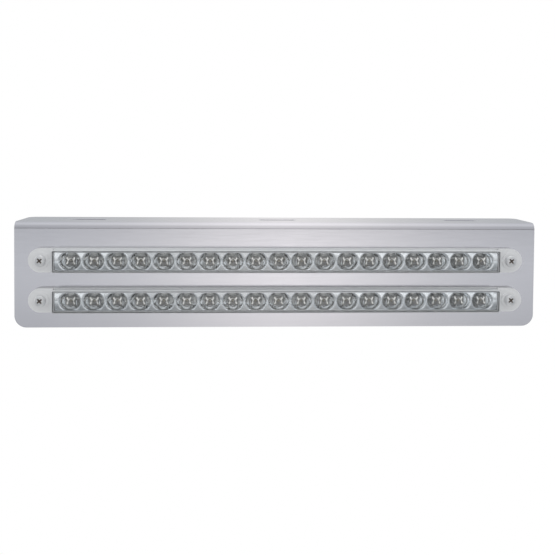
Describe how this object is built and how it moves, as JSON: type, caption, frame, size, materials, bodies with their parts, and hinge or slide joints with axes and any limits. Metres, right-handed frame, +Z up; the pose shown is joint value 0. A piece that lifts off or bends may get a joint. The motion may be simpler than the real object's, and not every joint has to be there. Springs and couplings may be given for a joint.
{
  "type": "led light bar",
  "caption": "Folded stainless-steel bracket with a slotted top flange, carrying slim clear-lensed LED light bars along its front face.",
  "frame": {"origin": "on the top face of the bracket's flange, on the middle plane, 12.7 mm behind the front face and 12.7 mm in front of the slots' centre line", "axes": "+X runs along the light bars, -Y is the way the lamps face, +Z is up out of the flange's top face"},
  "size_m": [0.4604, 0.0643, 0.0927],
  "materials": {
    "stainless_steel": "smooth satin stainless sheet",
    "foam": "white closed-cell foam seal",
    "white_plastic": "semi-gloss white moulding",
    "circuit_board": "white solder mask",
    "led_epoxy": "water-clear epoxy over a pale yellow chip",
    "chromed_plastic": "bright vacuum-metallised reflector",
    "clear_plastic": "clear polycarbonate",
    "screw_steel": "bright stainless screw",
    "zinc_plate": "zinc-plated nut",
    "black_rubber": "moulded rubber"
  },
  "bodies": {
    "root": {"bracket": "stainless_steel", "foam_pad_upper": "foam", "base_housing_upper": "white_plastic", "circuit_board_upper": "circuit_board", "reflector_upper": "chromed_plastic", "lens_upper": "clear_plastic", "wire_grommet_upper": "black_rubber", "screw_upper_left": "screw_steel", "lock_nut_upper_left": "zinc_plate", "screw_upper_right": "screw_steel", "lock_nut_upper_right": "zinc_plate", "foam_pad_lower": "foam", "base_housing_lower": "white_plastic", "circuit_board_lower": "circuit_board", "reflector_lower": "chromed_plastic", "lens_lower": "clear_plastic", "wire_grommet_lower": "black_rubber", "screw_lower_left": "screw_steel", "lock_nut_lower_left": "zinc_plate", "screw_lower_right": "screw_steel", "lock_nut_lower_right": "zinc_plate", "led_upper_01": "led_epoxy", "led_upper_02": "led_epoxy", "led_upper_03": "led_epoxy", "led_upper_04": "led_epoxy", "led_upper_05": "led_epoxy", "led_upper_06": "led_epoxy", "led_upper_07": "led_epoxy", "led_upper_08": "led_epoxy", "led_upper_09": "led_epoxy", "led_upper_10": "led_epoxy", "led_upper_11": "led_epoxy", "led_upper_12": "led_epoxy", "led_upper_13": "led_epoxy", "led_upper_14": "led_epoxy", "led_upper_15": "led_epoxy", "led_upper_16": "led_epoxy", "led_upper_17": "led_epoxy", "led_upper_18": "led_epoxy", "led_upper_19": "led_epoxy", "led_lower_01": "led_epoxy", "led_lower_02": "led_epoxy", "led_lower_03": "led_epoxy", "led_lower_04": "led_epoxy", "led_lower_05": "led_epoxy", "led_lower_06": "led_epoxy", "led_lower_07": "led_epoxy", "led_lower_08": "led_epoxy", "led_lower_09": "led_epoxy", "led_lower_10": "led_epoxy", "led_lower_11": "led_epoxy", "led_lower_12": "led_epoxy", "led_lower_13": "led_epoxy", "led_lower_14": "led_epoxy", "led_lower_15": "led_epoxy", "led_lower_16": "led_epoxy", "led_lower_17": "led_epoxy", "led_lower_18": "led_epoxy", "led_lower_19": "led_epoxy"}
  },
  "joints": []
}
